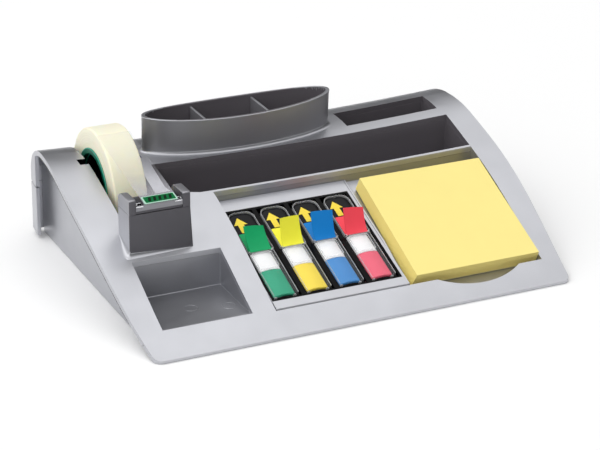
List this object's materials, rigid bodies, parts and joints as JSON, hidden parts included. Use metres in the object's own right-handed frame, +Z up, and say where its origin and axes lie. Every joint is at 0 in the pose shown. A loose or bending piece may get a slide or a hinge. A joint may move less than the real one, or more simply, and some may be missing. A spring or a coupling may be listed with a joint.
{
  "type": "desk organizer with tape dispenser",
  "caption": "Sloping desk organizer with a tape dispenser, pencil cup, pen trough, clip tray, note bay, index-flag insert and a drawer that slides out at the back.",
  "frame": {"origin": "on the desk, under the middle of the shell's outline", "axes": "+X to the right of the person it faces, +Y to the back where the drawer slides out, +Z up"},
  "size_m": [0.256, 0.1826, 0.0758],
  "materials": {
    "silver_plastic": "satin metallic grey",
    "grey_plastic": "satin metallic dark grey",
    "dark_plastic": "matt dark grey",
    "charcoal_plastic": "satin charcoal",
    "black_plastic": "semi-gloss black",
    "blade_steel": "bright saw-tooth strip",
    "screw_steel": "plated",
    "core_card": "printed dark green",
    "tape": "wound adhesive film, creamy",
    "film": "frosted clear film",
    "tab_green": "printed green",
    "feet_rubber": "matt",
    "note_paper": "canary yellow, uncoated",
    "backing_card": "uncoated",
    "flag_green": "printed film",
    "flag_yellow": "printed film",
    "flag_blue": "printed film",
    "flag_red": "printed film",
    "flag_white": "clear film over white",
    "clear_plastic": "clear glossy cover"
  },
  "bodies": {
    "organizer": {"top_shell": "silver_plastic", "left_side": "silver_plastic", "right_side": "silver_plastic", "base_plate": "dark_plastic", "rubber_feet": "feet_rubber", "base_screws": "screw_steel", "pen_trough": "dark_plastic", "clip_tray": "silver_plastic", "rear_compartment": "dark_plastic", "pencil_cup": "grey_plastic", "cup_divider_left": "grey_plastic", "cup_divider_right": "grey_plastic", "tape_well": "dark_plastic", "hub_axle": "black_plastic", "cutter_post": "charcoal_plastic", "cutter_blade": "blade_steel", "blade_backing": "charcoal_plastic", "tape_film": "film", "starter_tab": "tab_green", "flag_bay": "silver_plastic", "note_bay": "silver_plastic", "drawer_rail_left": "dark_plastic", "drawer_rail_right": "dark_plastic"},
    "drawer": {"drawer_tray": "dark_plastic", "drawer_face": "silver_plastic"},
    "tape": {"tape_roll": "tape", "tape_core": "core_card", "tape_hub": "black_plastic"},
    "flag_insert": {"insert_frame": "silver_plastic", "lane_tray": "black_plastic"},
    "note_pad": {"note_pad": "note_paper", "note_backing": "backing_card"},
    "dispenser_green": {"sled_green": "black_plastic", "flags_green": "flag_green", "flag_ends_green": "flag_white", "cover_green": "clear_plastic", "flag_tab_green": "flag_green"},
    "dispenser_yellow": {"sled_yellow": "black_plastic", "flags_yellow": "flag_yellow", "flag_ends_yellow": "flag_white", "cover_yellow": "clear_plastic", "flag_tab_yellow": "flag_yellow"},
    "dispenser_blue": {"sled_blue": "black_plastic", "flags_blue": "flag_blue", "flag_ends_blue": "flag_white", "cover_blue": "clear_plastic", "flag_tab_blue": "flag_blue"},
    "dispenser_red": {"sled_red": "black_plastic", "flags_red": "flag_red", "flag_ends_red": "flag_white", "cover_red": "clear_plastic", "flag_tab_red": "flag_red"}
  },
  "joints": [
    {"name": "drawer_slide", "type": "slide", "parent": "organizer", "child": "drawer", "axis": [0, 1, 0], "range_m": [0, 0.075]},
    {"name": "tape_spin", "type": "hinge", "parent": "organizer", "child": "tape", "pos_m": [-0.092, 0.04845, 0.0395], "axis": [1, 0, 0], "continuous": true},
    {"name": "note_pad_lift", "type": "slide", "parent": "organizer", "child": "note_pad", "axis": [0, 0, 1], "range_m": [0, 0.06]},
    {"name": "flag_insert_lift", "type": "slide", "parent": "organizer", "child": "flag_insert", "axis": [0, 0, 1], "range_m": [0, 0.06]},
    {"name": "dispenser_green_lift", "type": "slide", "parent": "flag_insert", "child": "dispenser_green", "axis": [0, 0, 1], "range_m": [0, 0.035]},
    {"name": "dispenser_yellow_lift", "type": "slide", "parent": "flag_insert", "child": "dispenser_yellow", "axis": [0, 0, 1], "range_m": [0, 0.035]},
    {"name": "dispenser_blue_lift", "type": "slide", "parent": "flag_insert", "child": "dispenser_blue", "axis": [0, 0, 1], "range_m": [0, 0.035]},
    {"name": "dispenser_red_lift", "type": "slide", "parent": "flag_insert", "child": "dispenser_red", "axis": [0, 0, 1], "range_m": [0, 0.035]}
  ]
}
